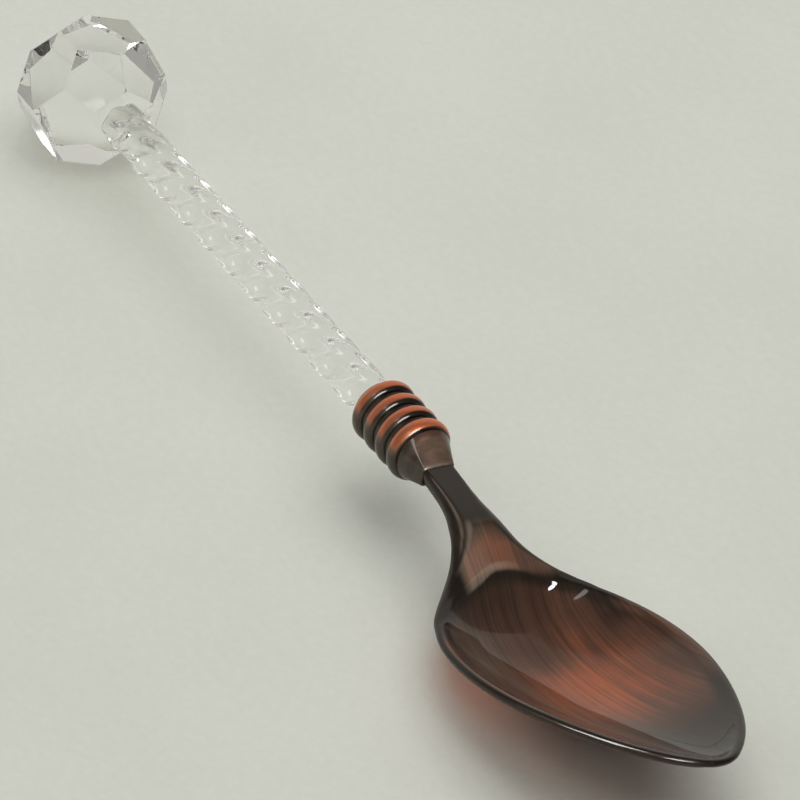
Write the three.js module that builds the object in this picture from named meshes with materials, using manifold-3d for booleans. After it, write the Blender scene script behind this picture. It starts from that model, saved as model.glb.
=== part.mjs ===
// Coffee spoon: antique-copper head and ribbed ferrule, clear twisted handle rod,
// clear faceted ball finial.  Millimetres, +Z up, +X from the ball to the bowl's tip.
// The spoon lies at rest: the ball's lowest facet and the bowl's belly share one plane.
import * as THREE from 'three';
import { mergeVertices } from 'three/addons/utils/BufferGeometryUtils.js';
import { ConvexGeometry } from 'three/addons/geometries/ConvexGeometry.js';
import Module from 'manifold-3d';

// ---------------------------------------------------------------- driving dimensions
// Everything is laid out from the middle of the ferrule's first ring (x = 0, z = 0);
// the whole object is moved onto its bottom plane at the end.
const TILT = THREE.MathUtils.degToRad(1.6);   // handle axis rises towards the bowl

// ferrule, along the handle axis
const RING_COUNT = 4;
const RING_PITCH = 2.36;
const RING_CREST_R = 3.70;
const RING_GROOVE_R = 3.02;
const RING_HALF_W = 0.84;                     // half the width of one ring, at the groove
const FERRULE_BACK = -1.18;                   // rear face
const RINGS_END = 8.12;                       // the nose starts in front of the last ring
const NOSE_END = 11.20;                       // the nose stops here, flat topped
const NOSE_ROOT_R = 3.22;
const NOSE_TIP_HALF_W = 1.90;
const NOSE_TIP_TOP = 0.70;                    // above the handle axis
const NOSE_TIP_BOTTOM = -1.60;
const SOCKET_R = 2.50;                        // takes the rod's spigot
const SOCKET_END = 6.00;
const SLOT_HALF_W = 1.45;                     // takes the head's tang
const SLOT_HALF_H = 0.85;
const SLOT_BOTTOM = 7.10;
const SLOT_Z = -0.45;                         // the tang sits a little under the axis

// handle rod
const ROD_CREST_R = 2.50;
const ROD_TROUGH_R = 2.26;
const ROD_LOBES = 6;
const ROD_LOBE_STEP = 5.04;                   // axial distance from lobe to lobe
const ROD_HAND = -1;                          // left-hand twist
const ROD_FRONT = -1.33;                      // shoulder at the ferrule's rear face
const ROD_BACK = -57.55;                      // shoulder at the ball
const FRONT_SPIGOT_R = 2.00;
const FRONT_SPIGOT_END = 5.70;
const BACK_SPIGOT_R = 1.70;
const BACK_SPIGOT_END = -63.40;

// ball finial
const BALL_X = -64.66;                        // centre, along the handle axis
const BALL_AROUND = 6;                        // facets in each belt round the handle axis
const BALL_BELT = THREE.MathUtils.degToRad(45);   // the front and rear belts lean this far from the middle one
const BALL_FLAT_R = 7.453;                    // centre to facet
const BALL_SEAT = 6.85;                       // centre to the flat that meets the rod
const BALL_BORE_R = 2.20;
const BALL_BORE_END = 0.90;                   // blind end, from the ball's centre

// cured adhesive and solder
const FRONT_GLUE_R = [2.10, 2.40];
const BACK_GLUE_R = [1.80, 2.10];
const SOLDER_IN = [1.05, 0.55];
const SOLDER_OUT = [1.35, 0.75];
const TANG_HALF_W = 0.95;
const TANG_HALF_H = 0.45;
const TANG_BACK = 7.30;

// head: neck, shoulder and bowl, tabulated along x
const HEAD_BACK = 11.38;
const TIP_X = 65.20;
const OUTLINE = [                             // x, half width
  [11.38, 1.85], [14.4, 1.95], [16.7, 2.26], [18.5, 2.80], [19.7, 3.20], [20.6, 3.58],
  [21.6, 4.12], [22.4, 4.66], [23.2, 5.30], [24.2, 6.20], [25.4, 7.32], [27.0, 8.78],
  [28.6, 9.98], [30.5, 11.00], [33.0, 11.92], [36.2, 12.58], [39.8, 12.80], [43.0, 12.62],
  [46.0, 12.12], [49.0, 11.30], [52.0, 10.24], [55.0, 8.98], [58.0, 7.46], [60.4, 5.94],
  [62.2, 4.52], [63.6, 3.16], [64.6, 1.94], [65.2, 0.0]];
const RIM_Z = [                               // x, height of the top edge
  [11.38, 0.86], [14.0, 0.68], [16.7, 0.46], [18.5, 0.26], [19.7, 0.00], [20.6, -0.40],
  [21.6, -1.02], [22.6, -1.66], [23.6, -2.28], [24.6, -2.82], [25.8, -3.32], [27.2, -3.66],
  [28.8, -3.74], [30.5, -3.58], [33.0, -3.08], [36.2, -2.36], [40.0, -1.48], [45.0, -0.30],
  [50.0, 0.90], [55.0, 2.08], [60.0, 3.24], [65.2, 4.44]];
const EDGE_PLAN = [                           // x, width of the edge's rounding in plan
  [11.38, 0.40], [14.0, 0.60], [16.0, 0.90], [17.5, 1.25], [19.0, 1.65], [20.6, 1.90], [21.6, 1.85],
  [22.6, 1.70], [23.6, 1.48], [24.6, 1.25], [26.0, 0.90], [28.0, 0.55], [30.0, 0.42], [65.2, 0.42]];
const EDGE_DROP = [                           // x, height from the widest line up to the top
  [11.38, 0.55], [14.0, 0.75], [16.0, 0.95], [17.5, 1.15], [19.0, 1.35], [20.6, 1.45], [22.6, 1.32],
  [24.6, 1.02], [26.5, 0.68], [28.5, 0.47], [30.0, 0.42], [65.2, 0.42]];
const EDGE_UNDER = 0.42;                      // height from the widest line down to the underside
const THICK = [                               // x, top to underside on the centre line, less the hollow
  [11.38, 2.10], [15.0, 2.15], [18.5, 2.30], [20.6, 2.30], [22.6, 2.10], [24.6, 1.80], [26.5, 1.50], [29.0, 1.25], [33.0, 1.12], [65.2, 1.05]];
const DEPTH = [                               // x on the centre line, depth of the hollow
  [24.2, 0.0], [25.0, 0.76], [26.2, 1.72], [27.4, 2.68], [29.0, 3.64], [31.5, 4.66], [34.5, 5.34], [38.0, 5.70],
  [42.0, 5.66], [46.0, 5.24], [50.0, 4.54], [54.0, 3.62], [58.0, 2.54], [60.5, 1.80], [62.2, 1.28]];
const HOLLOW_START = 24.2;
const HOLLOW_FULL = 30.2;                     // from here the hollow reaches the rim land
const RIM_LAND = 0.80;
const SPINE_KNEE = 50.0;                      // past here the grid fans round the tip
const SPINE_END = 62.2;

// ---------------------------------------------------------------- helpers
function through(points) {                    // monotone cubic through tabulated points
  const n = points.length, x = points.map(p => p[0]), y = points.map(p => p[1]);
  const h = [], s = [], m = new Array(n).fill(0);
  for (let i = 0; i < n - 1; i++) { h[i] = x[i + 1] - x[i]; s[i] = (y[i + 1] - y[i]) / h[i]; }
  for (let i = 1; i < n - 1; i++) {
    if (s[i - 1] * s[i] > 0) {
      const a = 2 * h[i] + h[i - 1], b = h[i] + 2 * h[i - 1];
      m[i] = (a + b) / (a / s[i - 1] + b / s[i]);
    }
  }
  m[0] = s[0]; m[n - 1] = s[n - 2];
  return t => {
    if (t <= x[0]) return y[0];
    if (t >= x[n - 1]) return y[n - 1];
    let i = 0; while (t > x[i + 1]) i++;
    const u = (t - x[i]) / h[i], u2 = u * u, u3 = u2 * u;
    return y[i] * (2 * u3 - 3 * u2 + 1) + h[i] * m[i] * (u3 - 2 * u2 + u)
      + y[i + 1] * (3 * u2 - 2 * u3) + h[i] * m[i + 1] * (u3 - u2);
  };
}

const wasm = await Module();
wasm.setup();

function weld(geometry, tolerance = 1e-4) {
  const g = geometry.index ? geometry.toNonIndexed() : geometry.clone();
  for (const name of Object.keys(g.attributes)) if (name !== 'position') g.deleteAttribute(name);
  return mergeVertices(g, tolerance);
}
function solid(geometry) {
  const g = weld(geometry);
  const idx = Array.from(g.index.array), tri = [];
  for (let i = 0; i < idx.length; i += 3) {
    const [a, b, c] = [idx[i], idx[i + 1], idx[i + 2]];
    if (a !== b && b !== c && c !== a) tri.push(a, b, c);
  }
  return new wasm.Manifold(new wasm.Mesh({
    numProp: 3, vertProperties: new Float32Array(g.attributes.position.array), triVerts: new Uint32Array(tri) }));
}
function geometryOf(body) {
  const m = body.getMesh(), p = [];
  for (let i = 0; i < m.numVert; i++)
    for (let k = 0; k < 3; k++) p.push(m.vertProperties[i * m.numProp + k]);
  const g = new THREE.BufferGeometry();
  g.setAttribute('position', new THREE.Float32BufferAttribute(p, 3));
  g.setIndex(Array.from(m.triVerts));
  g.computeVertexNormals();
  return g;
}
function soup(triangles) {                    // list of [a, b, c] points -> geometry
  const p = [];
  for (const t of triangles) for (const v of t) p.push(v[0], v[1], v[2]);
  const g = new THREE.BufferGeometry();
  g.setAttribute('position', new THREE.Float32BufferAttribute(p, 3));
  return g;
}
function loft(sections) {                     // closed rings of points, both ends capped by a fan
  const tris = [], n = sections[0].length;
  for (let i = 0; i + 1 < sections.length; i++) {
    const a = sections[i], b = sections[i + 1];
    for (let j = 0; j < n; j++) {
      const k = (j + 1) % n;
      tris.push([a[j], b[j], b[k]], [a[j], b[k], a[k]]);
    }
  }
  for (const [ring, flip] of [[sections[0], false], [sections[sections.length - 1], true]]) {
    const c = [0, 1, 2].map(k => ring.reduce((t, v) => t + v[k], 0) / n);
    for (let j = 0; j < n; j++) {
      const k = (j + 1) % n;
      tris.push(flip ? [c, ring[k], ring[j]] : [c, ring[j], ring[k]]);
    }
  }
  const g = soup(tris);
  return solidVolume(g) < 0 ? flipped(tris) : g;
}
function flipped(tris) { return soup(tris.map(t => [t[0], t[2], t[1]])); }
function solidVolume(g) {
  const p = g.attributes.position, a = new THREE.Vector3(), b = new THREE.Vector3(), c = new THREE.Vector3();
  let v = 0;
  for (let i = 0; i < p.count; i += 3) {
    a.fromBufferAttribute(p, i); b.fromBufferAttribute(p, i + 1); c.fromBufferAttribute(p, i + 2);
    v += a.dot(b.cross(c)) / 6;
  }
  return v;
}
// solid of revolution about X: profile of [x, r], starting and ending on the axis
function turned(profile, segments) {
  const pts = profile.map(([x, r]) => new THREE.Vector2(r, x));
  return new THREE.LatheGeometry(pts, segments).rotateZ(-Math.PI / 2);
}
function rodOfRevolution(r, x0, x1, segments) { return turned([[x0, 0], [x0, r], [x1, r], [x1, 0]], segments); }
function sleeve([r0, r1], x0, x1, segments) {
  return solid(rodOfRevolution(r1, x0, x1, segments)).subtract(solid(rodOfRevolution(r0, x0 - 1, x1 + 1, segments)));
}
function block(x0, x1, hw, hh, zc = 0) {
  return new THREE.BoxGeometry(x1 - x0, 2 * hw, 2 * hh).translate((x0 + x1) / 2, 0, zc);
}

// ---------------------------------------------------------------- materials
const copper = (hex, roughness) => new THREE.MeshStandardMaterial({ color: hex, metalness: 1, roughness });
const clear = () => new THREE.MeshStandardMaterial({ color: 0xf4f6f4, metalness: 0, roughness: 0.05, transparent: true, opacity: 0.35 });
const glue = () => new THREE.MeshStandardMaterial({ color: 0xe9eae2, metalness: 0, roughness: 0.2, transparent: true, opacity: 0.5 });

// ---------------------------------------------------------------- head: bowl, shoulder, neck and tang
const halfSq = through(OUTLINE.map(([x, w]) => [x, w * w]));
const halfWidth = x => Math.sqrt(Math.max(halfSq(x), 0));
const rimZ = through(RIM_Z), thick = through(THICK), depthAt = through(DEPTH);
const edgePlan = through(EDGE_PLAN), edgeDrop = through(EDGE_DROP);
const spineX = x => x <= SPINE_KNEE ? x : SPINE_KNEE + (x - SPINE_KNEE) * (SPINE_END - SPINE_KNEE) / (TIP_X - SPINE_KNEE);

// one grid point of the upper or lower skin; t = 0 on the centre line, 1 on the outline
function skin(xo, t, upper) {
  const xs = spineX(xo), w = halfWidth(xo);
  const reach = Math.hypot(xo - xs, w);
  const x = xs + t * (xo - xs), y = t * w;
  const inset = (1 - t) * reach;                                  // plan distance from the outline
  const zr = rimZ(x);
  // share of bowl in the section: 0 in the neck, 1 where the hollow is full
  const bowl = THREE.MathUtils.smoothstep(xs, 19.5, HOLLOW_FULL);
  // rounded edge: a wide bevel on the shoulder, a small round on the rim
  const ep = Math.min(edgePlan(x), 0.9 * reach), up = edgeDrop(x);
  const e = Math.min(inset / ep, 1), el = Math.min(inset / EDGE_UNDER, 1);
  const mid = zr - up, bulge = up * Math.pow(1 - (1 - e) ** 1.8, 1 / 1.8);
  let hollow = 0;
  if (xs > HOLLOW_START) {
    const grow = xs >= HOLLOW_FULL ? 1 : Math.pow(1 - ((HOLLOW_FULL - xs) / (HOLLOW_FULL - HOLLOW_START)) ** 2, 0.4);
    const tin = grow * (1 - RIM_LAND / reach);
    if (t < tin) hollow = depthAt(xs) * Math.pow(1 - (t / tin) ** 2, 0.98);
  }
  if (upper) return [x, y, mid + bulge - hollow];
  const under = Math.max(thick(xs) - up - EDGE_UNDER, 0.02) + (xs > HOLLOW_START ? depthAt(xs) : 0);
  const p = THREE.MathUtils.lerp(4, 2, bowl), q = THREE.MathUtils.lerp(0.6, 1.12, bowl);
  return [x, y, mid - EDGE_UNDER * Math.sqrt(1 - (1 - el) ** 2) - under * Math.pow(1 - t ** p, q)];
}
function headGeometry() {
  const xs = [];
  for (let x = HEAD_BACK; x < 18.4; x += 1.4) xs.push(x);
  for (let x = 18.6; x < 31; x += 0.62) xs.push(x);
  for (let x = 31.4; x < 57; x += 1.75) xs.push(x);
  for (let k = 0; k <= 9; k++) xs.push(57.6 + (TIP_X - 57.6) * Math.sin(k * Math.PI / 18));
  const up = [0, 0.17, 0.34, 0.5, 0.64, 0.76, 0.85, 0.91, 0.95, 0.978, 1], low = [0, 0.2, 0.4, 0.58, 0.74, 0.86, 0.94, 0.978, 1];
  const tris = [];
  const quad = (a, b, c, d) => { tris.push([a, b, c], [a, c, d]); };
  for (const side of [1, -1]) {
    const at = (x, t, upper) => { const v = skin(x, t, upper); return [v[0], side * v[1], v[2]]; };
    for (const [rings, upper] of [[up, true], [low, false]]) {
      for (let i = 0; i + 1 < xs.length; i++) for (let j = 0; j + 1 < rings.length; j++) {
        const a = at(xs[i], rings[j], upper), b = at(xs[i + 1], rings[j], upper);
        const c = at(xs[i + 1], rings[j + 1], upper), d = at(xs[i], rings[j + 1], upper);
        if ((side > 0) === upper) quad(a, b, c, d); else quad(a, d, c, b);
      }
    }
    // flat back end of the neck
    const ring = [...up.map(t => at(HEAD_BACK, t, true)), ...low.slice(0, -1).reverse().map(t => at(HEAD_BACK, t, false))];
    const mid = at(HEAD_BACK, 0, true), base = at(HEAD_BACK, 0, false);
    const c = [HEAD_BACK, 0, (mid[2] + base[2]) / 2];
    for (let j = 0; j + 1 < ring.length; j++) tris.push(side > 0 ? [c, ring[j], ring[j + 1]] : [c, ring[j + 1], ring[j]]);
  }
  return soup(tris);
}
const tang = block(TANG_BACK, HEAD_BACK + 0.8, TANG_HALF_W, TANG_HALF_H, SLOT_Z).rotateY(-TILT);
const headBody = solid(headGeometry()).add(solid(tang));

// ---------------------------------------------------------------- ferrule
function ferruleBody() {
  const SEG = 36, profile = [[FERRULE_BACK, 0], [FERRULE_BACK, RING_GROOVE_R]];
  for (let i = 0; i < RING_COUNT; i++) {
    const c = i * RING_PITCH;
    for (const a of [78, 52, 26, 0, -26, -52, -78]) {
      const r = THREE.MathUtils.degToRad(a);
      profile.push([c - RING_HALF_W * Math.sin(r), RING_GROOVE_R + (RING_CREST_R - RING_GROOVE_R) * Math.cos(r)]);
    }
    if (i + 1 < RING_COUNT) profile.push([c + RING_HALF_W + 0.04, RING_GROOVE_R], [c + RING_PITCH - RING_HALF_W - 0.04, RING_GROOVE_R]);
  }
  profile.push([RINGS_END, NOSE_ROOT_R - 0.05], [RINGS_END, 0]);
  let body = solid(turned(profile, SEG));
  // nose: round at the rings, flat topped and nearly square at its end
  const rings = [];
  for (const f of [-0.03, 0, 0.25, 0.5, 0.75, 1]) {
    const x = RINGS_END + f * (NOSE_END - RINGS_END), g = Math.max(f, 0), ring = [];
    for (let j = 0; j < SEG; j++) {
      const a = 2 * Math.PI * j / SEG, cy = Math.cos(a), cz = Math.sin(a);
      const round = [NOSE_ROOT_R * cy, NOSE_ROOT_R * cz];
      const n = 5, s = Math.pow(Math.abs(cy) ** n + Math.abs(cz) ** n, -1 / n);
      const zc = (NOSE_TIP_TOP + NOSE_TIP_BOTTOM) / 2, hz = (NOSE_TIP_TOP - NOSE_TIP_BOTTOM) / 2;
      const square = [NOSE_TIP_HALF_W * s * cy, zc + hz * s * cz];
      const k = g;
      ring.push([x, round[0] + (square[0] - round[0]) * k, round[1] + (square[1] - round[1]) * k]);
    }
    rings.push(ring);
  }
  body = body.add(solid(loft(rings)));
  body = body.subtract(solid(rodOfRevolution(SOCKET_R, FERRULE_BACK - 1, SOCKET_END, SEG)));
  return body.subtract(solid(block(SLOT_BOTTOM, NOSE_END + 1, SLOT_HALF_W, SLOT_HALF_H, SLOT_Z)));
}

// ---------------------------------------------------------------- handle rod
function rodBody() {
  const N = 36, steps = 56, rings = [];
  const rm = (ROD_CREST_R + ROD_TROUGH_R) / 2, ra = (ROD_CREST_R - ROD_TROUGH_R) / 2;
  const turn = ROD_HAND * 2 * Math.PI / (ROD_LOBES * ROD_LOBE_STEP);
  for (let i = 0; i <= steps; i++) {
    const x = ROD_BACK + (ROD_FRONT - ROD_BACK) * i / steps, ring = [];
    for (let j = 0; j < N; j++) {
      const a = 2 * Math.PI * j / N + turn * (x - ROD_BACK);
      const r = rm + ra * Math.cos(ROD_LOBES * 2 * Math.PI * j / N);
      ring.push([x, r * Math.cos(a), r * Math.sin(a)]);
    }
    rings.push(ring);
  }
  return solid(loft(rings))
    .add(solid(rodOfRevolution(FRONT_SPIGOT_R, ROD_FRONT - 1.5, FRONT_SPIGOT_END, 28)))
    .add(solid(rodOfRevolution(BACK_SPIGOT_R, BACK_SPIGOT_END, ROD_BACK + 1.5, 28)));
}

// ---------------------------------------------------------------- ball finial
// Flats tangent to one sphere: a table at the far end, belts of facets round the handle axis, a seat for the rod.
function ballBody() {
  const planes = [];
  const flat = (lat, lon, d) => planes.push([new THREE.Vector3(
    Math.sin(lat), Math.cos(lat) * Math.sin(lon), -Math.cos(lat) * Math.cos(lon)), d]);
  for (let k = 0; k < BALL_AROUND; k++) {
    const a = 2 * Math.PI * k / BALL_AROUND, half = Math.PI / BALL_AROUND;
    flat(0, a, BALL_FLAT_R);
    for (const s of [1, -1]) flat(s * BALL_BELT, a + half, BALL_FLAT_R);
  }
  flat(Math.PI / 2, 0, BALL_SEAT);
  flat(-Math.PI / 2, 0, BALL_FLAT_R);
  const corners = [], m = new THREE.Matrix3();
  for (let i = 0; i < planes.length; i++) for (let j = i + 1; j < planes.length; j++) for (let k = j + 1; k < planes.length; k++) {
    const [a, da] = planes[i], [b, db] = planes[j], [c, dc] = planes[k];
    m.set(a.x, a.y, a.z, b.x, b.y, b.z, c.x, c.y, c.z);
    if (Math.abs(m.determinant()) < 1e-3) continue;
    const v = new THREE.Vector3(da, db, dc).applyMatrix3(m.clone().invert());
    if (planes.every(([n, d]) => n.dot(v) < d + 1e-6) && corners.every(q => q.distanceTo(v) > 1e-3)) corners.push(v);
  }
  const bore = rodOfRevolution(BALL_BORE_R, BALL_BORE_END, BALL_SEAT + 2, 28).rotateY(-TILT);
  return solid(new ConvexGeometry(corners)).subtract(solid(bore));
}

// ---------------------------------------------------------------- cured adhesive and solder
const frontGlue = sleeve(FRONT_GLUE_R, FERRULE_BACK + 0.5, FRONT_SPIGOT_END - 0.1, 28);
const backGlue = sleeve(BACK_GLUE_R, BACK_SPIGOT_END + 0.1, BALL_X + BALL_SEAT - 0.5, 28);
const solder = solid(block(TANG_BACK + 0.1, NOSE_END - 0.2, SOLDER_OUT[0], SOLDER_OUT[1], SLOT_Z))
  .subtract(solid(block(TANG_BACK - 1, NOSE_END + 1, SOLDER_IN[0], SOLDER_IN[1], SLOT_Z)));

// ---------------------------------------------------------------- assembly
function mesh(name, body, material) {
  const m = new THREE.Mesh(geometryOf(body), material);
  m.name = name;
  return m;
}
const spoon = new THREE.Group();
const placed = new THREE.Group();             // moves the spoon onto its bottom plane
const handle = new THREE.Group();             // pieces on the tilted handle axis
handle.rotation.y = -TILT;
handle.add(
  mesh('ribbed_ferrule', ferruleBody(), copper(0x6b3524, 0.32)),
  mesh('twisted_handle_rod', rodBody(), clear()),
  mesh('ferrule_adhesive', frontGlue, glue()),
  mesh('finial_adhesive', backGlue, glue()),
  mesh('neck_solder', solder, copper(0x8f8a80, 0.45)));
const ball = mesh('faceted_finial_ball', ballBody(), clear());
ball.position.set(BALL_X * Math.cos(TILT), 0, BALL_X * Math.sin(TILT));
placed.add(handle, ball, mesh('spoon_bowl', headBody, copper(0x5f3021, 0.35)));

// bottom plane at z = 0, middle of the length at x = 0
placed.updateMatrixWorld(true);
const box = new THREE.Box3().setFromObject(placed, true);
placed.position.set(-(box.min.x + box.max.x) / 2, -(box.min.y + box.max.y) / 2, -box.min.z);
spoon.add(placed);
spoon.updateMatrixWorld(true);

export default spoon;
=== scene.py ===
import math

import bmesh
import bpy
import numpy as np
from mathutils import Matrix, Vector


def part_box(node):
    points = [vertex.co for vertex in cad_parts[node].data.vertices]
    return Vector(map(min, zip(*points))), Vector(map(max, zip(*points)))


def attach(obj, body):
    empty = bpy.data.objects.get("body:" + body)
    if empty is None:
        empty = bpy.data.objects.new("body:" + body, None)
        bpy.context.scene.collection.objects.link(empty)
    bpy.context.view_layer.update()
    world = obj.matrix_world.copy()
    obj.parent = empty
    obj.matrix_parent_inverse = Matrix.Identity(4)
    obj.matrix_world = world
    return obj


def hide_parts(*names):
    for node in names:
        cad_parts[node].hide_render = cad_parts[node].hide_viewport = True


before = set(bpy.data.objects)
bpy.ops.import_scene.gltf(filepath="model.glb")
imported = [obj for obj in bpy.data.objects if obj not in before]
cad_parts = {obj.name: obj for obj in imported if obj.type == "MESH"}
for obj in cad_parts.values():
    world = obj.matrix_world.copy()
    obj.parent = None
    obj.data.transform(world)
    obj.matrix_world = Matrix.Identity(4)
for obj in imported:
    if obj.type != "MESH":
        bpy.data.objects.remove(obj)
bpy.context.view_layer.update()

# ------------------------------------------------------------------ layout
# The shapes are laid out in millimetres from the middle of the ferrule's first ring.
TIP_X = 65.20
TILT = math.radians(1.6)
BALL_X = -64.66
BALL_FLAT_R = 7.453
ORIGIN = Vector((
    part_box("spoon_bowl")[1].x * 1000 - TIP_X,
    0.0,
    BALL_FLAT_R - BALL_X * math.sin(TILT),
))


def to_frame(p):
    """millimetres from the first ring -> metres in the frame"""
    return (np.asarray(p, float) + np.array(ORIGIN)) / 1000.0


def on_handle(p):
    """points on the handle axis -> tilted with the handle"""
    p = np.asarray(p, float)
    c, s = math.cos(TILT), math.sin(TILT)
    return np.stack([p[..., 0] * c - p[..., 2] * s, p[..., 1], p[..., 0] * s + p[..., 2] * c], -1)


# ------------------------------------------------------------------ camera
AZ, EL, ROLL = math.radians(52.1), math.radians(34.75), math.radians(-12.8)
right0 = Vector((math.cos(AZ), math.sin(AZ), 0))
up0 = Vector((-math.sin(AZ) * math.sin(EL), math.cos(AZ) * math.sin(EL), math.cos(EL)))
back = Vector((math.sin(AZ) * math.cos(EL), -math.cos(AZ) * math.cos(EL), math.sin(EL)))
right = right0 * math.cos(ROLL) - up0 * math.sin(ROLL)
up = right0 * math.sin(ROLL) + up0 * math.cos(ROLL)
eye = (ORIGIN + right * 1.672 + up * 1.202 + back * 650.0) / 1000.0
camera = bpy.data.objects.new("camera", bpy.data.cameras.new("camera"))
bpy.context.scene.collection.objects.link(camera)
camera.data.sensor_width = 36.0
camera.data.lens = 36.0 * 6217.0 / 800.0
camera.data.clip_start = 0.01
camera.data.clip_end = 20.0
camera.matrix_world = Matrix((
    (right.x, up.x, back.x, eye.x),
    (right.y, up.y, back.y, eye.y),
    (right.z, up.z, back.z, eye.z),
    (0, 0, 0, 1),
))
bpy.context.scene.camera = camera


# ------------------------------------------------------------------ helpers
def through(points):
    """monotone cubic through tabulated points, for arrays"""
    x = np.array([p[0] for p in points], float)
    y = np.array([p[1] for p in points], float)
    h = np.diff(x)
    s = np.diff(y) / h
    m = np.zeros(len(x))
    for i in range(1, len(x) - 1):
        if s[i - 1] * s[i] > 0:
            a, b = 2 * h[i] + h[i - 1], h[i] + 2 * h[i - 1]
            m[i] = (a + b) / (a / s[i - 1] + b / s[i])
    m[0], m[-1] = s[0], s[-1]

    def at(t):
        t = np.clip(np.asarray(t, float), x[0], x[-1])
        i = np.clip(np.searchsorted(x, t, side="right") - 1, 0, len(h) - 1)
        u = (t - x[i]) / h[i]
        u2, u3 = u * u, u * u * u
        return (y[i] * (2 * u3 - 3 * u2 + 1) + h[i] * m[i] * (u3 - 2 * u2 + u)
                + y[i + 1] * (3 * u2 - 2 * u3) + h[i] * m[i + 1] * (u3 - u2))

    return at


def smoothstep(v, lo, hi):
    u = np.clip((np.asarray(v, float) - lo) / (hi - lo), 0, 1)
    return u * u * (3 - 2 * u)


def piece(name, points, faces, marks=None, smooth=True, sharp=None):
    """a mesh object from points in the frame, welded, with outward normals; marks are point attributes"""
    mesh = bpy.data.meshes.new(name)
    mesh.from_pydata([tuple(p) for p in points], [], [tuple(int(i) for i in f) for f in faces])
    for key, values in (marks or {}).items():
        layer = mesh.attributes.new(key, "FLOAT", "POINT")
        layer.data.foreach_set("value", np.asarray(values, np.float32))
    bm = bmesh.new()
    bm.from_mesh(mesh)
    bmesh.ops.remove_doubles(bm, verts=bm.verts, dist=2e-7)
    bmesh.ops.dissolve_degenerate(bm, edges=bm.edges, dist=1e-8)
    bmesh.ops.recalc_face_normals(bm, faces=bm.faces)
    bm.to_mesh(mesh)
    bm.free()
    for poly in mesh.polygons:
        poly.use_smooth = smooth
    if sharp is not None:
        mesh.set_sharp_from_angle(angle=math.radians(sharp))
    mesh.update()
    ob = bpy.data.objects.new(name, mesh)
    bpy.context.scene.collection.objects.link(ob)
    return ob


def rings_to_faces(count, n, first_cap=True, last_cap=True):
    """faces of a stack of closed rings of n points; caps fan to two extra points after them"""
    faces = []
    for i in range(count - 1):
        for j in range(n):
            k = (j + 1) % n
            faces.append((i * n + j, (i + 1) * n + j, (i + 1) * n + k, i * n + k))
    tip = count * n
    if first_cap:
        faces += [(tip, j, (j + 1) % n) for j in range(n)]
        tip += 1
    if last_cap:
        o = (count - 1) * n
        faces += [(tip, o + (j + 1) % n, o + j) for j in range(n)]
    return faces


# ------------------------------------------------------------------ materials
class Nodes:
    """a small wrapper to lay out shader nodes"""

    def __init__(self, name):
        self.mat = bpy.data.materials.new(name)
        self.mat.use_nodes = True
        self.tree = self.mat.node_tree
        self.tree.nodes.clear()
        self.out = self.tree.nodes.new("ShaderNodeOutputMaterial")
        self.bsdf = self.tree.nodes.new("ShaderNodeBsdfPrincipled")
        self.tree.links.new(self.bsdf.outputs[0], self.out.inputs["Surface"])

    def add(self, kind, **values):
        node = self.tree.nodes.new(kind)
        for key, value in values.items():
            setattr(node, key, value)
        return node

    def link(self, a, b):
        self.tree.links.new(a, b)

    def put(self, socket, value):
        if isinstance(value, bpy.types.NodeSocket):
            self.link(value, socket)
        else:
            socket.default_value = value

    def coords(self, scale=(1, 1, 1), location=(0, 0, 0)):
        tex = self.add("ShaderNodeTexCoord")
        mapping = self.add("ShaderNodeMapping")
        mapping.inputs["Scale"].default_value = scale
        mapping.inputs["Location"].default_value = location
        self.link(tex.outputs["Object"], mapping.inputs["Vector"])
        return mapping.outputs[0]

    def noise(self, vector, scale=1.0, detail=2.0, rough=0.5, distort=0.0):
        n = self.add("ShaderNodeTexNoise")
        self.link(vector, n.inputs["Vector"])
        n.inputs["Scale"].default_value = scale
        n.inputs["Detail"].default_value = detail
        n.inputs["Roughness"].default_value = rough
        n.inputs["Distortion"].default_value = distort
        return n.outputs["Fac"]

    def math(self, op, a, b=0.0, clamp=False):
        n = self.add("ShaderNodeMath", operation=op, use_clamp=clamp)
        self.put(n.inputs[0], a)
        self.put(n.inputs[1], b)
        return n.outputs[0]

    def ramp(self, value, lo, hi, to_lo=0.0, to_hi=1.0, smooth=True):
        n = self.add("ShaderNodeMapRange", interpolation_type="SMOOTHSTEP" if smooth else "LINEAR")
        self.put(n.inputs["Value"], value)
        for key, v in (("From Min", lo), ("From Max", hi), ("To Min", to_lo), ("To Max", to_hi)):
            n.inputs[key].default_value = v
        return n.outputs["Result"]

    def mark(self, name):
        return self.add("ShaderNodeAttribute", attribute_name=name).outputs["Fac"]

    def mix(self, fac, a, b):
        n = self.add("ShaderNodeMix", data_type="RGBA")
        self.put(n.inputs[0], fac)
        self.put(n.inputs[6], a)
        self.put(n.inputs[7], b)
        return n.outputs[2]

    def bump(self, height, strength, distance, normal=None):
        n = self.add("ShaderNodeBump")
        n.inputs["Strength"].default_value = strength
        n.inputs["Distance"].default_value = distance
        self.link(height, n.inputs["Height"])
        if normal is not None:
            self.link(normal, n.inputs["Normal"])
        return n.outputs[0]

    def set(self, name, value):
        self.put(self.bsdf.inputs[name], value)


PATINA = (0.015, 0.010, 0.006, 1)
UMBER = (0.118, 0.054, 0.034, 1)
COPPER = (0.590, 0.150, 0.056, 1)
# a pale grey used for painted sheen and painted highlights
SHEEN_GREY = (0.545, 0.445, 0.340, 1)


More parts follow.
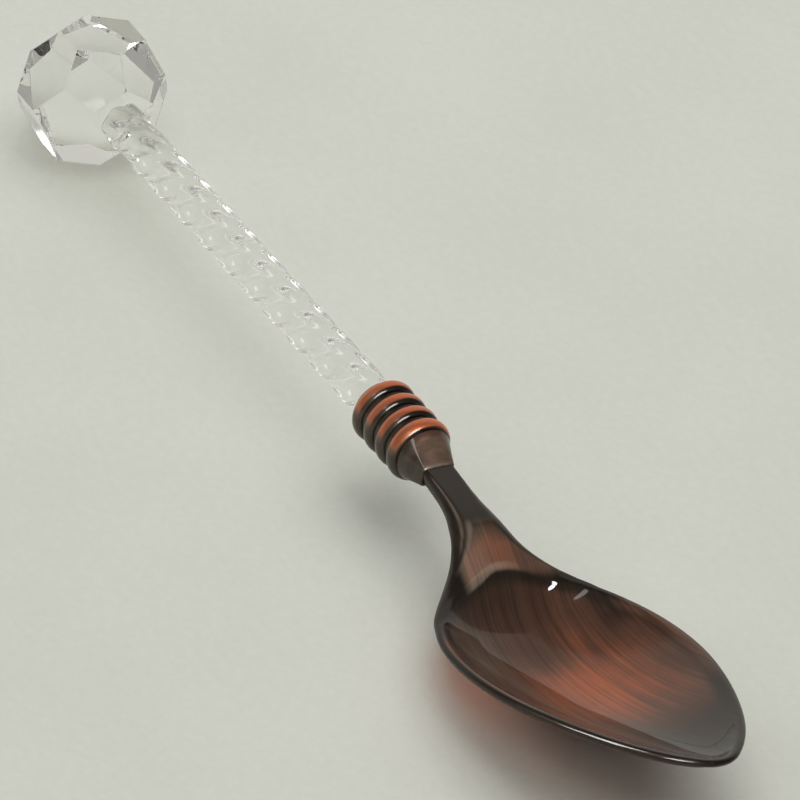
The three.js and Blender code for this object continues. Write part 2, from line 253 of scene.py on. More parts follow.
def antique_copper(name, brush, streak):
    """lacquered antique copper: dark patina, buffed back to copper where the mark says, brushed along X"""
    m = Nodes(name)
    buff, painted_sheen = m.mark("buff"), m.mark("painted_sheen")
    # brush lines: long and thin, in two widths
    fine = m.noise(m.coords(brush), 1.0, 3.0, 0.62, 0.15)
    wide = m.noise(m.coords(tuple(v * 0.55 for v in brush), (3.1, 1.7, 0.4)), 1.0, 2.0, 0.5, 0.2)
    lines = m.math("ADD", m.math("MULTIPLY", fine, 0.65), m.math("MULTIPLY", wide, 0.35))
    cloud = m.noise(m.coords((140, 140, 140)), 1.0, 4.0, 0.6, 0.4)
    grain = m.noise(m.coords((5200, 5200, 5200)), 1.0, 2.0, 0.5)
    # how much copper shows: the mark, broken up by the brush and by cloudy toning
    stray = m.math("ADD", m.math("MULTIPLY", m.math("SUBTRACT", lines, 0.5), streak),
                   m.math("MULTIPLY", m.math("SUBTRACT", cloud, 0.5), 0.25))
    shown = m.math("ADD", buff, m.math("MULTIPLY", stray, m.ramp(buff, 0.0, 0.5, 0.25, 1.0)), clamp=True)
    low = m.mix(m.ramp(shown, 0.0, 0.5), PATINA, UMBER)
    colour = m.mix(m.ramp(shown, 0.35, 1.0), low, COPPER)
    # painted sheen: the second mark mixes in a pale grey that stands in for reflections and highlights in the lacquer
    pale = m.math("MULTIPLY", painted_sheen, m.ramp(lines, 0.3, 0.7, 0.6, 1.2), clamp=True)
    m.set("Base Color", m.mix(pale, colour, SHEEN_GREY))
    m.set("Metallic", m.ramp(shown, 0.0, 1.0, 0.40, 0.62))
    rough = m.math("ADD", m.ramp(lines, 0.3, 0.7, 0.32, 0.48), m.math("MULTIPLY", cloud, 0.06))
    m.set("Roughness", rough)
    m.set("Specular IOR Level", 0.05)
    height = m.math("ADD", m.math("MULTIPLY", lines, 1.0), m.math("MULTIPLY", grain, 0.12))
    m.set("Normal", m.bump(height, 0.35, 0.00004))
    m.set("Coat Weight", m.ramp(m.mark("bare"), 0.0, 1.0, 0.75, 0.50))
    m.set("Coat Roughness", 0.035)
    m.set("Coat IOR", 1.45)
    return m.mat


def clear_resin(name, ior, tint, ripple, passes):
    """clear moulded or cut material with a faint surface ripple and handling haze"""
    m = Nodes(name)
    haze = m.noise(m.coords((420, 420, 420)), 1.0, 4.0, 0.6, 0.6)
    wave = m.noise(m.coords((190, 190, 190), (0.3, 0.8, 0.1)), 1.0, 2.0, 0.5)
    m.set("Base Color", tint)
    m.set("Roughness", m.ramp(haze, 0.45, 0.8, 0.004, 0.03))
    m.set("IOR", ior)
    m.set("Transmission Weight", 1.0)
    m.set("Normal", m.bump(wave, ripple, 0.0002))
    # light from the lamps mostly passes, so that the clear pieces cast a pale shadow
    path = m.add("ShaderNodeLightPath")
    passing = m.add("ShaderNodeBsdfTransparent")
    passing.inputs["Color"].default_value = (passes, passes, passes - 0.01, 1)
    either = m.add("ShaderNodeMixShader")
    m.link(path.outputs["Is Shadow Ray"], either.inputs[0])
    m.link(m.bsdf.outputs[0], either.inputs[1])
    m.link(passing.outputs[0], either.inputs[2])
    m.link(either.outputs[0], m.out.inputs["Surface"])
    return m.mat


# ------------------------------------------------------------------ head: bowl, shoulder, neck and tang
HEAD_BACK = 11.24
OUTLINE = [
    (11.20, 1.85), (14.4, 1.95), (16.7, 2.26), (18.5, 2.80), (19.7, 3.20), (20.6, 3.58),
    (21.6, 4.12), (22.4, 4.66), (23.2, 5.30), (24.2, 6.20), (25.4, 7.32), (27.0, 8.78),
    (28.6, 9.98), (30.5, 11.00), (33.0, 11.92), (36.2, 12.58), (39.8, 12.80), (43.0, 12.62),
    (46.0, 12.12), (49.0, 11.30), (52.0, 10.24), (55.0, 8.98), (58.0, 7.46), (60.4, 5.94),
    (62.2, 4.52), (63.6, 3.16), (64.6, 1.94), (65.2, 0.0)]
RIM_Z = [
    (11.20, 0.86), (14.0, 0.68), (16.7, 0.46), (18.5, 0.26), (19.7, 0.00), (20.6, -0.40),
    (21.6, -1.02), (22.6, -1.66), (23.6, -2.28), (24.6, -2.82), (25.8, -3.32), (27.2, -3.66),
    (28.8, -3.74), (30.5, -3.58), (33.0, -3.08), (36.2, -2.36), (40.0, -1.48), (45.0, -0.30),
    (50.0, 0.90), (55.0, 2.08), (60.0, 3.24), (65.2, 4.44)]
EDGE_PLAN = [
    (11.20, 0.40), (14.0, 0.60), (16.0, 0.90), (17.5, 1.25), (19.0, 1.65), (20.6, 1.90), (21.6, 1.85),
    (22.6, 1.70), (23.6, 1.48), (24.6, 1.25), (26.0, 0.90), (28.0, 0.55), (30.0, 0.42), (65.2, 0.42)]
EDGE_DROP = [
    (11.20, 0.55), (14.0, 0.75), (16.0, 0.95), (17.5, 1.15), (19.0, 1.35), (20.6, 1.45), (22.6, 1.32),
    (24.6, 1.02), (26.5, 0.68), (28.5, 0.47), (30.0, 0.42), (65.2, 0.42)]
EDGE_UNDER = 0.42
THICK = [
    (11.20, 2.10), (15.0, 2.15), (18.5, 2.30), (20.6, 2.30), (22.6, 2.10), (24.6, 1.80), (26.5, 1.50),
    (29.0, 1.25), (33.0, 1.12), (65.2, 1.05)]
HOLLOW_START, HOLLOW_FULL, RIM_LAND = 24.2, 30.2, 0.80
HOLLOW_END = TIP_X - RIM_LAND
DEPTH = [
    (24.2, 0.0), (25.0, 0.76), (26.2, 1.72), (27.4, 2.68), (29.0, 3.64), (31.5, 4.66), (34.5, 5.34), (38.0, 5.70),
    (42.0, 5.66), (46.0, 5.24), (50.0, 4.54), (54.0, 3.62), (58.0, 2.54), (60.2, 1.88), (61.8, 1.36), (63.0, 0.90),
    (63.8, 0.50), (64.4, 0.0)]
UNDER_TIP = [(50.0, 1.0), (56.0, 1.0), (60.0, 0.96), (62.0, 0.84), (63.6, 0.62), (64.6, 0.36), (65.2, 0.0)]
SPINE_KNEE, SPINE_END = 50.0, 62.2

half_sq = through([(x, w * w) for x, w in OUTLINE])
rim_z, edge_plan, edge_drop = through(RIM_Z), through(EDGE_PLAN), through(EDGE_DROP)
thick, depth_at, under_tip = through(THICK), through(DEPTH), through(UNDER_TIP)


def faired(f, lo, hi, reach):
    """the table's curve with its small changes of curvature evened out between lo and hi"""
    t = np.arange(10.0, 66.0, 0.1)
    k = np.exp(-0.5 * (np.arange(-3 * reach, 3 * reach + 0.05, 0.1) / reach) ** 2)
    k /= k.sum()
    raw = f(t)
    soft = np.convolve(np.pad(raw, len(k) // 2, mode="edge"), k, "valid")
    share = smoothstep(t, lo, lo + 3.0) * (1 - smoothstep(t, hi - 3.0, hi))
    mixed = raw + (soft - raw) * share
    return lambda x: f(x) + np.interp(np.asarray(x, float), t, mixed - raw)


rim_z, depth_at, half_sq = faired(rim_z, 28.5, 60.0, 2.0), faired(depth_at, 27.5, 60.0, 2.0), faired(half_sq, 27.5, 60.0, 2.0)


def half_width(x):
    return np.sqrt(np.maximum(half_sq(x), 0))


def spine_x(x):
    x = np.asarray(x, float)
    return np.where(x <= SPINE_KNEE, x, SPINE_KNEE + (x - SPINE_KNEE) * (SPINE_END - SPINE_KNEE) / (TIP_X - SPINE_KNEE))


# half width of the hollow's edge: an arc across the shoulder, then the rim's inner line
_x = np.concatenate([np.linspace(20, 64, 2200), TIP_X - 1.2 * np.linspace(1, 0, 900) ** 2])
_w = half_width(_x)
_dx, _dw = np.gradient(_x), np.gradient(_w)
_len = np.hypot(_dx, _dw)
_ox, _ow = _x + RIM_LAND * _dw / _len, _w - RIM_LAND * _dx / _len
_keep = _ow > 0
_order = np.argsort(_ox[_keep])
_ox, _ow = _ox[_keep][_order], _ow[_keep][_order]


def hollow_half(x):
    x = np.asarray(x, float)
    full = np.sqrt(np.maximum(np.interp(x, np.append(_ox, HOLLOW_END), np.append(_ow ** 2, 0.0)), 0))
    u = np.clip((HOLLOW_FULL - x) / (HOLLOW_FULL - HOLLOW_START), 0, 1)
    return full * np.power(np.maximum(1 - u * u, 0), 0.40)


# depth of the hollow over a fine plan grid, its edge rounded off
CELL, ROUND = 0.05, 0.17
_gx = np.arange(22.0, 66.5, CELL)
_gy = np.arange(0.0, 14.0, CELL)
_hw = hollow_half(_gx)
_inside = (_gx > HOLLOW_START) & (_gx < HOLLOW_END)
with np.errstate(divide="ignore", invalid="ignore"):
    _sec = 1 - (_gy[None, :] / np.maximum(_hw, 1e-6)[:, None]) ** 2
_field = np.where(_inside[:, None], depth_at(_gx)[:, None] * np.maximum(_sec, 0), 0.0)
_reach = int(4 * ROUND / CELL)
_kernel = np.exp(-0.5 * (np.arange(-_reach, _reach + 1) * CELL / ROUND) ** 2)
_kernel /= _kernel.sum()
_wide = np.concatenate([_field[:, _reach:0:-1], _field, np.zeros((len(_gx), _reach))], 1)
_wide = np.stack([np.convolve(row, _kernel, "valid") for row in _wide])
_wide = np.concatenate([np.zeros((_reach, len(_gy))), _wide, np.zeros((_reach, len(_gy)))], 0)
_field = np.stack([np.convolve(col, _kernel, "valid") for col in _wide.T]).T


def hollow(x, y):
    fx = np.clip((np.asarray(x) - _gx[0]) / CELL, 0, len(_gx) - 1.001)
    fy = np.clip(np.abs(y) / CELL, 0, len(_gy) - 1.001)
    i, j = fx.astype(int), fy.astype(int)
    u, v = fx - i, fy - j
    return ((_field[i, j] * (1 - v) + _field[i, j + 1] * v) * (1 - u)
            + (_field[i + 1, j] * (1 - v) + _field[i + 1, j + 1] * v) * u)


def head_points(xo, inset_share, upper):
    """grid of points for stations xo (n) and shares of the way in from the outline (k), +Y side"""
    xo = np.asarray(xo, float)[:, None]
    xs, w = spine_x(xo), half_width(xo)
    reach = np.hypot(xo - xs, w)
    inset = inset_share(reach)
    t = 1 - inset / reach
    x, y = xs + t * (xo - xs), t * w
    zr = rim_z(x)
    ep, drop = np.minimum(edge_plan(x), 0.9 * reach), edge_drop(x)
    e = np.minimum(inset / ep, 1)
    el = np.minimum(inset / EDGE_UNDER, 1)
    mid = zr - drop
    if upper:
        z = mid + drop * np.power(1 - (1 - e) ** 1.8, 1 / 1.8) - hollow(x, y)
    else:
        bowl = smoothstep(x, 19.5, HOLLOW_FULL)
        section = np.clip(np.abs(y) / np.maximum(half_width(x), 1e-6), 0, 1)
        under = np.maximum(thick(x) - drop - EDGE_UNDER, 0.02) * under_tip(x) + np.where(x > HOLLOW_START, depth_at(x), 0)
        p, q = 4 - 2 * bowl, 0.6 + 0.52 * bowl
        z = mid - EDGE_UNDER * np.sqrt(1 - (1 - el) ** 2) - under * np.power(np.maximum(1 - section ** p, 0), q)
    return np.stack(np.broadcast_arrays(x, y, z), -1), np.broadcast_to(inset, x.shape)


def insets(first, steps):
    first = np.asarray(first, float)
    rest = np.linspace(0, 1, steps + 1)[1:]

    def at(reach):
        near = first[None, :] * np.minimum(1.0, 0.72 * reach / first[-1])
        far = near[:, -1:] + (reach - near[:, -1:]) * rest[None, :]
        return np.concatenate([near, far], 1)

    return at


def build_head():
    xo = np.concatenate([
        np.arange(HEAD_BACK, 24.0, 0.22), np.arange(24.0, 31.0, 0.11), np.arange(31.0, 57.0, 0.30),
        57.0 + (TIP_X - 57.0) * np.sin(np.linspace(0, math.pi / 2, 46))])
    over = insets([0, 0.010, 0.035, 0.075, 0.13, 0.20, 0.28, 0.36, 0.45, 0.54, 0.63, 0.72, 0.81, 0.90, 1.0, 1.12, 1.28, 1.5], 30)
    below = insets([0, 0.010, 0.035, 0.075, 0.13, 0.20, 0.28, 0.36, 0.45, 0.6], 22)
    top, top_in = head_points(xo, over, True)
    low, low_in = head_points(xo, below, False)
    mirror = np.array([1, -1, 1])
    # ring: +Y edge -> centre -> -Y edge on top, then back underneath
    ring = np.concatenate([top, (top * mirror)[:, -2::-1], (low * mirror)[:, 1:], low[:, -2:0:-1]], 1)
    n, count = ring.shape[1], ring.shape[0]
    points = ring.reshape(-1, 3)
    faces = []
    for i in range(count - 1):
        for j in range(n):
            k = (j + 1) % n
            faces.append((i * n + j, i * n + k, (i + 1) * n + k, (i + 1) * n + j))
    # flat back of the neck, and the tang that goes into the ferrule
    back_ring = list(range(n))
    tang = []
    ang = np.unwrap(np.arctan2(points[:n, 2] + 0.05, points[:n, 1]))
    hw, hh, zc = 0.95, 0.45, -0.13
    for depth in (HEAD_BACK, 7.5, 7.3):
        shrink = 1.0 if depth > 7.4 else 0.8
        s = 1 / np.maximum(np.abs(np.cos(ang)) / (hw * shrink), np.abs(np.sin(ang)) / (hh * shrink))
        tang.append(np.stack([np.full(n, depth), s * np.cos(ang), zc + s * np.sin(ang)], -1))
    base = len(points)
    points = np.concatenate([points] + tang + [np.array([[7.3, 0, zc]])])
    loops = [back_ring] + [list(range(base + i * n, base + (i + 1) * n)) for i in range(3)]
    for a, b in zip(loops, loops[1:]):
        for j in range(n):
            k = (j + 1) % n
            faces.append((a[j], b[j], b[k], a[k]))
    tip = len(points) - 1
    faces += [(loops[-1][j], tip, loops[-1][(j + 1) % n]) for j in range(n)]

    # where the patina is buffed back
    x, y, z = points.T
    upper = z > rim_z(x) - edge_drop(x) - 0.02 - hollow(x, y)
    dish = smoothstep(hollow(x, y), 0.15, 1.2)
    centre = np.exp(-(((x - 40.6) / 9.7) ** 2 + ((y - 2.4) / 6.8) ** 2))
    far = smoothstep(x, 33.0, 39.0) * smoothstep(y, 4.0, 9.0) * (1 - smoothstep(x, 47.0, 56.0))
    wall = (0.20 + 0.52 * centre + 0.08 * far) * (1 - 0.65 * smoothstep(x, 48.0, 57.0))
    # darker towards the far back corner of the hollow
    wall = wall * (1 - 0.5 * smoothstep(y, 7.4, 9.2) * (1 - smoothstep(x, 32.5, 36.0)))
    # two darker patches and a lighter one
    wall = wall - 0.16 * np.exp(-(((x - 33.5) / 2.6) ** 2 + ((y - 1.8) / 2.2) ** 2))
    wall = wall + 0.07 * np.exp(-(((x - 32.3) / 2.4) ** 2 + ((y - 5.4) / 1.8) ** 2))
    wall = np.maximum(wall - 0.12 * np.exp(-(((x - 42.5) / 4.5) ** 2 + ((y - 9.4) / 2.0) ** 2)), 0.03)
    edge = np.concatenate([top_in, top_in[:, -2::-1], low_in[:, 1:], low_in[:, -2:0:-1]], 1).reshape(-1)
    edge = np.concatenate([edge, np.full(len(points) - len(edge), 5.0)])
    in_from_edge = edge / edge_plan(x)
    face = smoothstep(in_from_edge, 0.72, 1.05)
    shoulder = smoothstep(x - 0.35 * np.abs(y), 18.4, 22.0) * (1 - smoothstep(x, 24.6, 26.8)) * face * (1 - smoothstep(-y, 3.3, 4.8))
    shoulder = shoulder * (1 - 0.3 * smoothstep(y, 1.0, 3.5) * smoothstep(x, 21.0, 23.5))
    land = smoothstep(edge, 0.25, 0.6) * (1 - dish) * smoothstep(x, 29.0, 34.0) * (1 - smoothstep(x, 45.0, 53.0))
    below = 0.10 + 0.76 * smoothstep(edge, 0.6, 1.6) * smoothstep(x, 22.0, 28.0) * (1 - 0.42 * smoothstep(x, 32.0, 44.0))
    rise = 1 - smoothstep(hollow(x, y), 0.02, 0.30 + 0.22 * smoothstep(-y, 0.0, 2.5))
    flat = np.maximum(0.60 * shoulder * rise, np.maximum(0.36 * land, 0.05))
    buff = np.where(upper, np.maximum(dish * wall, flat), below)
    # painted highlights: a pale band along the arc where the hollow starts and down the left of the shoulder
    deep = hollow(x, y)
    left = 0.55 * smoothstep(-y, 0.0, 2.5)
    arc = smoothstep(hollow(x + 0.75 - 0.45 * left, y), 0.0, 0.30) * (1 - smoothstep(x, 25.8, 27.6))
    arc = arc * (1 - smoothstep(deep, 0.02 + 0.5 * left, 0.22 + 0.7 * left))
    arc = arc * smoothstep(y, -4.9, -3.1) * (1 - smoothstep(y, -0.5, 4.0))
    side = np.exp(-((in_from_edge - 1.02) / 0.22) ** 2) * smoothstep(x, 18.8, 20.2) * (1 - smoothstep(x, 22.6, 24.4))
    # painted sheen on the flat of the shoulder, stronger on its left
    tone = (0.14 + 0.22 * (1 - smoothstep(y, -2.6, 1.2))) * shoulder * rise
    # painted reflection: the near wall and the start of the hollow are toned a little greyer, standing in for the
    # lacquer's grey reflection
    near = 0.15 * dish * np.exp(-(((x - 33.2) / 4.2) ** 2 + ((y + 6.0) / 2.4) ** 2))
    start = 0.034 * smoothstep(deep, 0.0, 0.3) * (1 - smoothstep(x, 27.0, 32.0)) * (1 - smoothstep(y, 1.0, 4.0))
    # painted highlight: a thin pale line along the left edge of the neck
    line = np.exp(-((in_from_edge - 0.55) / 0.10) ** 2) * smoothstep(x, 11.8, 13.0) * (1 - smoothstep(x, 20.0, 23.0)) * (y < 0)
    painted_sheen = np.maximum(np.maximum(0.62 * arc, 0.42 * side * (1 - smoothstep(y, -1.0, 2.0))), np.maximum(tone, 0.30 * line))
    painted_sheen = np.where(upper, np.maximum(painted_sheen, near + start), 0.0)
    # the lacquer is thin round the outer edge
    bare = np.where(upper, 1 - smoothstep(edge, 0.10, 0.42), 1.0)
    return piece("spoon_head", to_frame(points), faces, {"buff": buff, "painted_sheen": painted_sheen, "bare": bare}, sharp=40)


# ------------------------------------------------------------------ ferrule
def build_ferrule():
    n = 144
    a = 2 * math.pi * np.arange(n) / n
    cy, cz = np.cos(a), np.sin(a)
    rings, buff = [], []

    # copper shows on the upper side of the rings only, fading out towards the underside
    upper_share = smoothstep(cz, -0.10, 0.48)

    def circle(x, r, b):
        rings.append(np.stack([np.full(n, x), r * cy, r * cz], -1))
        buff.append(b * upper_share)

    # socket, from its end out to the rear face
    circle(6.0, 0.8, 0.0)
    circle(6.0, 2.38, 0.0)
    circle(5.88, 2.5, 0.0)
    circle(-0.98, 2.5, 0.0)
    circle(-1.10, 2.56, 0.1)
    circle(-1.18, 2.66, 0.3)
    circle(-1.18, 2.98, 0.25)
    # four rounded rings and the grooves between them
    groove, crest, pitch, half = 3.02, 3.70, 2.36, 0.84
    for i in range(4):
        c = i * pitch
        for d in np.linspace(-88, 88, 29):
            r = math.radians(d)
            lift = math.cos(r) ** 0.9
            band = float(smoothstep(d, -84, -58) * (1 - (smoothstep(d, 22, 48) if i < 3 else smoothstep(d, 46, 76))))
            circle(c + half * math.sin(r), groove + (crest - groove) * lift, 0.97 * band)
        if i < 3:
            for f in (0.12, 0.35, 0.5, 0.65, 0.88):
                circle(c + half + f * (pitch - 2 * half), groove - 0.035 * math.sin(math.pi * f), 0.0)
    # nose: round at the rings, flat topped at its end
    x0, x1, root, hw, top, low = 8.12, 11.20, 3.22, 1.90, 0.70, -1.60
    circle(x0 - 0.02, groove + 0.02, 0.0)
    zc, hz, power = (top + low) / 2, (top - low) / 2, 7.0
    s = np.power(np.abs(cy) ** power + np.abs(cz) ** power, -1 / power)
    square = np.stack([hw * s * cy, zc + hz * s * cz], -1)
    for f in np.concatenate([[0.03], np.linspace(0.06, 0.97, 18)]):
        k = f
        ring = np.stack([root * cy, root * cz], -1) * (1 - k) + square * k
        rings.append(np.concatenate([np.full((n, 1), x0 + f * (x1 - x0)), ring], 1))
        flat = smoothstep(cz, 0.55, 0.9)
        buff.append(0.06 + 0.34 * flat)
    for x, share in ((x1 - 0.03, 0.985), (x1, 0.95)):
        ring = np.stack([square[:, 0] * share, zc + (square[:, 1] - zc) * share], -1)
        rings.append(np.concatenate([np.full((n, 1), x), ring], 1))
        buff.append(np.full(n, 0.05))
    # front face and the slot for the tang
    sw, sh, sz = 1.45, 0.85, -0.45
    q = 1 / np.maximum(np.abs(cy) / sw, np.abs(cz) / sh)
    for x, share in ((x1, 1.0), (7.1, 1.0), (7.1, 0.5)):
        rings.append(np.stack([np.full(n, x), share * q * cy, sz + share * q * cz], -1))
        buff.append(np.zeros(n))
    ends = np.array([[6.0, 0, 0], [7.1, 0, sz]])
    points = np.concatenate([np.concatenate(rings), ends])
    # painted sheen: the nose's top is a little paler, with a painted highlight along its end edge
    x, y, z = points.T
    top_side = smoothstep(z, 0.2, 0.6) * smoothstep(x, x0 + 0.2, x0 + 0.8)
    painted_sheen = top_side * (0.16 + 0.22 * smoothstep(x, x1 - 0.5, x1 - 0.05) * (1 - smoothstep(y, -0.2, 1.4)))
    # painted reflection: the left side is greyed, standing in for the floor mirrored in the lacquer
    painted_sheen = np.maximum(painted_sheen, 0.12 * smoothstep(-y, 0.6, 2.4))
    points = on_handle(points)
    return piece("ribbed_collar", to_frame(points), rings_to_faces(len(rings), n),
                 {"buff": np.concatenate(buff + [np.zeros(2)]), "painted_sheen": painted_sheen}, sharp=50)


# ------------------------------------------------------------------ handle rod
def build_rod():
    n, steps = 144, 300
    crest, trough, lobes, step, hand = 2.50, 2.26, 6, 5.04, -1
    x_back, x_front = -57.55, -1.33
    mean, swing = (crest + trough) / 2, (crest - trough) / 2
    turn = hand * 2 * math.pi / (lobes * step)
    a0 = 2 * math.pi * np.arange(n) / n
    rings = []

    def ring(x, share=1.0, spigot=None):
        a = a0 + turn * (x - x_back)
        r = mean + swing * np.cos(lobes * a0)
        r = r * share if spigot is None else np.full(n, spigot)
        rings.append(np.stack([np.full(n, x), r * np.cos(a), r * np.sin(a)], -1))

    ring(-57.93, 0.94)
    for x in np.linspace(-57.93, x_front - 0.12, steps):
        ring(x)
    ring(x_front - 0.03, 0.985)
    ring(x_front, 0.95)
    ring(x_front, spigot=2.0)
    ring(5.6, spigot=2.0)
    ring(5.7, spigot=1.9)
    ends = np.array([[-57.93, 0, 0], [5.7, 0, 0]])
    points = on_handle(np.concatenate(rings + [ends]))
    return piece("twisted_clear_rod", to_frame(points), rings_to_faces(len(rings), n), sharp=40)


# ------------------------------------------------------------------ ball finial
def build_ball():
    around, belt, seat = 6, math.radians(45), 6.85
    planes = []

    def flat(lat, lon, d):
        planes.append((np.array([math.sin(lat), math.cos(lat) * math.sin(lon), -math.cos(lat) * math.cos(lon)]), d))

    for k in range(around):
        a, half = 2 * math.pi * k / around, math.pi / around
        flat(0, a, BALL_FLAT_R)
        for s in (1, -1):
            flat(s * belt, a + half, BALL_FLAT_R)
    flat(math.pi / 2, 0, seat)
    flat(-math.pi / 2, 0, BALL_FLAT_R)
    bm = bmesh.new()
    bmesh.ops.create_cube(bm, size=40.0)
    for normal, d in planes:
        geom = bm.verts[:] + bm.edges[:] + bm.faces[:]
        cut = bmesh.ops.bisect_plane(bm, geom=geom, dist=1e-6, plane_co=Vector(normal * d), plane_no=Vector(normal), clear_outer=True)
        edges = [e for e in cut["geom_cut"] if isinstance(e, bmesh.types.BMEdge)]
        bmesh.ops.contextual_create(bm, geom=edges)
    bmesh.ops.remove_doubles(bm, verts=bm.verts, dist=1e-4)
    bmesh.ops.recalc_face_normals(bm, faces=bm.faces)
    bmesh.ops.bevel(bm, geom=bm.edges[:], offset=0.055, segments=1, profile=0.5, affect="EDGES", clamp_overlap=True)
    centre = np.array([BALL_X * math.cos(TILT), 0, BALL_X * math.sin(TILT)])
    for v in bm.verts:
        v.co = Vector(to_frame(np.array(v.co) + centre))
    bmesh.ops.recalc_face_normals(bm, faces=bm.faces)
    mesh = bpy.data.meshes.new("cut_ball_finial")
    bm.to_mesh(mesh)
    bm.free()
    ob = bpy.data.objects.new("cut_ball_finial", mesh)
    bpy.context.scene.collection.objects.link(ob)
    return ob


# ------------------------------------------------------------------ the pieces
head, collar, rod, ball = build_head(), build_ferrule(), build_rod(), build_ball()
head.data.materials.append(antique_copper("antique_copper_brushed", (70, 2900, 0), 0.80))
collar.data.materials.append(antique_copper("antique_copper_turned", (1500, 420, 420), 0.45))
rod.data.materials.append(clear_resin("clear_acrylic", 1.49, (0.985, 0.99, 0.985, 1), 0.02, 0.79))
ball.data.materials.append(clear_resin("clear_cut_acrylic", 1.49, (0.99, 0.99, 0.985, 1), 0.0, 0.60))
for ob, nodes, slot in (
    (head, ["spoon_bowl"], "antique_copper_head"),
    (collar, ["ribbed_ferrule"], "antique_copper_ferrule"),
    (rod, ["twisted_handle_rod"], "clear_rod"),
    (ball, ["faceted_finial_ball", "finial_adhesive"], "clear_ball"),
):
    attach(ob, "root")
    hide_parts(*nodes)


def cured_adhesive():
    m = Nodes("cured_adhesive")
    cloud = m.noise(m.coords((900, 900, 900)), 1.0, 4.0, 0.6, 0.3)
    m.set("Base Color", m.mix(m.ramp(cloud, 0.3, 0.7), (0.90, 0.89, 0.82, 1), (0.97, 0.97, 0.93, 1)))
    m.set("Roughness", m.ramp(cloud, 0.3, 0.7, 0.08, 0.22))
    m.set("IOR", 1.49)
    m.set("Transmission Weight", 0.9)
    m.set("Normal", m.bump(cloud, 0.1, 0.0001))
    return m.mat


def soft_solder():
    m = Nodes("soft_solder")
    cloud = m.noise(m.coords((1500, 1500, 1500)), 1.0, 4.0, 0.65, 0.5)
    m.set("Base Color", m.mix(m.ramp(cloud, 0.3, 0.7), (0.30, 0.29, 0.27, 1), (0.52, 0.51, 0.48, 1)))
    m.set("Metallic", 1.0)
    m.set("Roughness", m.ramp(cloud, 0.3, 0.7, 0.32, 0.55))
    m.set("Normal", m.bump(cloud, 0.25, 0.0001))
    return m.mat


def dress(node, material):
    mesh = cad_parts[node].data
    mesh.materials.clear()
    mesh.materials.append(material)


dress("ferrule_adhesive", cured_adhesive())
dress("finial_adhesive", cured_adhesive())
dress("neck_solder", soft_solder())


# ------------------------------------------------------------------ floor
def build_floor():
    bm = bmesh.new()
    bmesh.ops.create_grid(bm, x_segments=8, y_segments=8, size=2.0)
    for v in bm.verts:
        v.co.z = -0.00004
    mesh = bpy.data.meshes.new("floor")
    bm.to_mesh(mesh)
    bm.free()
    ob = bpy.data.objects.new("floor", mesh)
    bpy.context.scene.collection.objects.link(ob)
    m = Nodes("pale_paper")
    fibre = m.noise(m.coords((900, 900, 900)), 1.0, 4.0, 0.6, 0.3)
    cloud = m.noise(m.coords((35, 35, 35)), 1.0, 3.0, 0.5)
    tone = m.math("ADD", m.math("MULTIPLY", fibre, 0.5), m.math("MULTIPLY", cloud, 0.5))
    m.set("Base Color", m.mix(m.ramp(tone, 0.3, 0.7), (0.608, 0.614, 0.545, 1), (0.648, 0.654, 0.585, 1)))
    m.set("Roughness", 0.9)
    m.set("Specular IOR Level", 0.15)
    m.set("Normal", m.bump(fibre, 0.08, 0.0002))
    mesh.materials.append(m.mat)
    return ob


build_floor()


# ------------------------------------------------------------------ light
def area(name, direction, distance, size, power, colour=(1, 1, 1), aim=(0, 0, 0.005), shape="DISK", tall=None):
    lamp = bpy.data.lights.new(name, "AREA")
    lamp.shape = shape
    lamp.size = size
    if tall is not None:
        lamp.size_y = tall
    lamp.energy = power
    lamp.color = colour
    ob = bpy.data.objects.new(name, lamp)
    bpy.context.scene.collection.objects.link(ob)
    place = Vector(direction).normalized() * distance + Vector(aim)
    ob.matrix_world = Matrix.Translation(place) @ (place - Vector(aim)).to_track_quat("Z", "Y").to_matrix().to_4x4()
    return ob


# soft light that is seen neither in the metal nor through the clear pieces
for lamp in (
    area("overhead", (0.0, -0.03, 0.99), 1.0, 0.50, 0.85),
    area("ceiling", (-0.05, 0.10, 0.99), 1.4, 2.0, 13.9),
    area("left_fill", (0.05, -0.70, 0.70), 1.0, 0.90, 1.8),
    area("right_fill", (0.05, 0.70, 0.70), 1.0, 0.90, 1.5),
    area("back_fill", (-0.75, 0.20, 0.62), 1.0, 0.90, 2.5),
):
    lamp.data.cycles.use_multiple_importance_sampling = False
    lamp.visible_glossy = lamp.visible_transmission = False
# a window seen through the clear pieces, and lamps seen in the metal
area("window", (-0.76, -0.48, 0.40), 1.0, 0.26, 0.5).visible_glossy = False
area("lamp_left", (0.30, -0.48, 0.80), 1.0, 0.24, 0.7).visible_transmission = False


def glint(lamp, ob):
    """a lamp that is only mirrored, and only in one piece"""
    lamp.visible_diffuse = lamp.visible_transmission = False
    group = bpy.data.collections.new(lamp.name + "_on")
    group.objects.link(ob)
    lamp.light_linking.receiver_collection = group


glint(area("lamp", (0.778, -0.163, 0.611), 1.0, 0.08, 0.70), head)
glint(area("rim_glint", (0.0, -0.93, 0.30), 1.0, 0.30, 24.0, shape="RECTANGLE", tall=0.80), head)
glint(area("tip_glint", (0.55, -0.79, 0.26), 1.0, 0.20, 12.0, shape="RECTANGLE", tall=0.60), head)
glint(area("ring_glint", (0.85, 0.0, 0.50), 1.0, 0.55, 13.0), collar)
spark = area("ball_glint", (0.70, -0.24, 0.67), 1.0, 0.09, 0.075)
glint(spark, ball)
spark.visible_glossy, spark.visible_transmission = False, True

world = bpy.data.worlds.new("studio")
bpy.context.scene.world = world
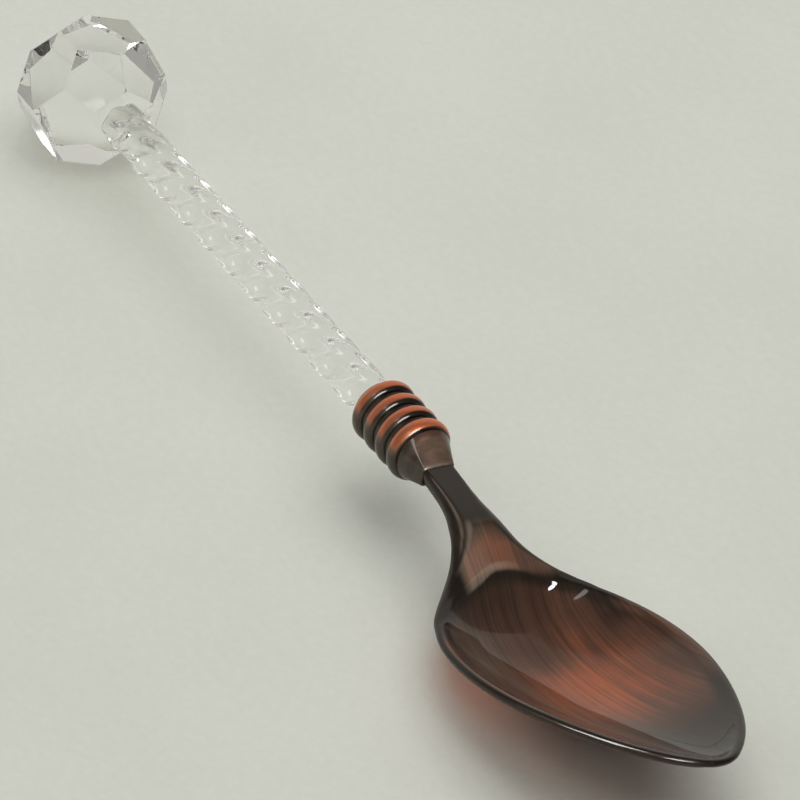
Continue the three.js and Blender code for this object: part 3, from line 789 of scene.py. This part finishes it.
# the room is seen in the metal and through the clear pieces; the lamps light the floor
world.cycles_visibility.diffuse = False
world.use_nodes = True
tree = world.node_tree
tree.nodes.clear()
w_out = tree.nodes.new("ShaderNodeOutputWorld")
w_bg = tree.nodes.new("ShaderNodeBackground")
w_tex = tree.nodes.new("ShaderNodeTexCoord")


def w_side(direction, lo, hi):
    """0 to 1 as the direction looked in crosses a plane"""
    dot = tree.nodes.new("ShaderNodeVectorMath")
    dot.operation = "DOT_PRODUCT"
    dot.inputs[1].default_value = direction
    tree.links.new(w_tex.outputs["Generated"], dot.inputs[0])
    ramp = tree.nodes.new("ShaderNodeMapRange")
    ramp.interpolation_type = "SMOOTHSTEP"
    ramp.inputs["From Min"].default_value = lo
    ramp.inputs["From Max"].default_value = hi
    tree.links.new(dot.outputs["Value"], ramp.inputs["Value"])
    return ramp.outputs["Result"]


# a bright wall behind the handle, the rest of the room dim
w_wall = tree.nodes.new("ShaderNodeMath")
w_wall.operation = "MULTIPLY"
tree.links.new(w_side((-0.95, 0.11, -0.285), -0.03, 0.03), w_wall.inputs[0])
tree.links.new(w_side((0.0, 0.707, -0.707), -0.60, -0.46), w_wall.inputs[1])
w_map = tree.nodes.new("ShaderNodeMapRange")
# what is seen through the clear pieces is a little lighter than what the metal mirrors
w_path = tree.nodes.new("ShaderNodeLightPath")
w_dim = tree.nodes.new("ShaderNodeMapRange")
w_dim.inputs["To Min"].default_value = 0.14
w_dim.inputs["To Max"].default_value = 0.34
tree.links.new(w_path.outputs["Is Transmission Ray"], w_dim.inputs["Value"])
tree.links.new(w_dim.outputs["Result"], w_map.inputs["To Min"])
w_map.inputs["To Max"].default_value = 0.66
tree.links.new(w_wall.outputs[0], w_map.inputs["Value"])
tree.links.new(w_map.outputs["Result"], w_bg.inputs["Strength"])
w_bg.inputs["Color"].default_value = (1.0, 0.98, 0.91, 1)
tree.links.new(w_bg.outputs[0], w_out.inputs["Surface"])

# light is followed far enough to find its way out of the cut ball
bpy.context.scene.cycles.max_bounces = 32
bpy.context.scene.cycles.glossy_bounces = 16
bpy.context.scene.cycles.transmission_bounces = 24

bpy.context.scene.view_settings.view_transform = "Standard"
bpy.context.scene.view_settings.look = "None"

bpy.context.view_layer.update()
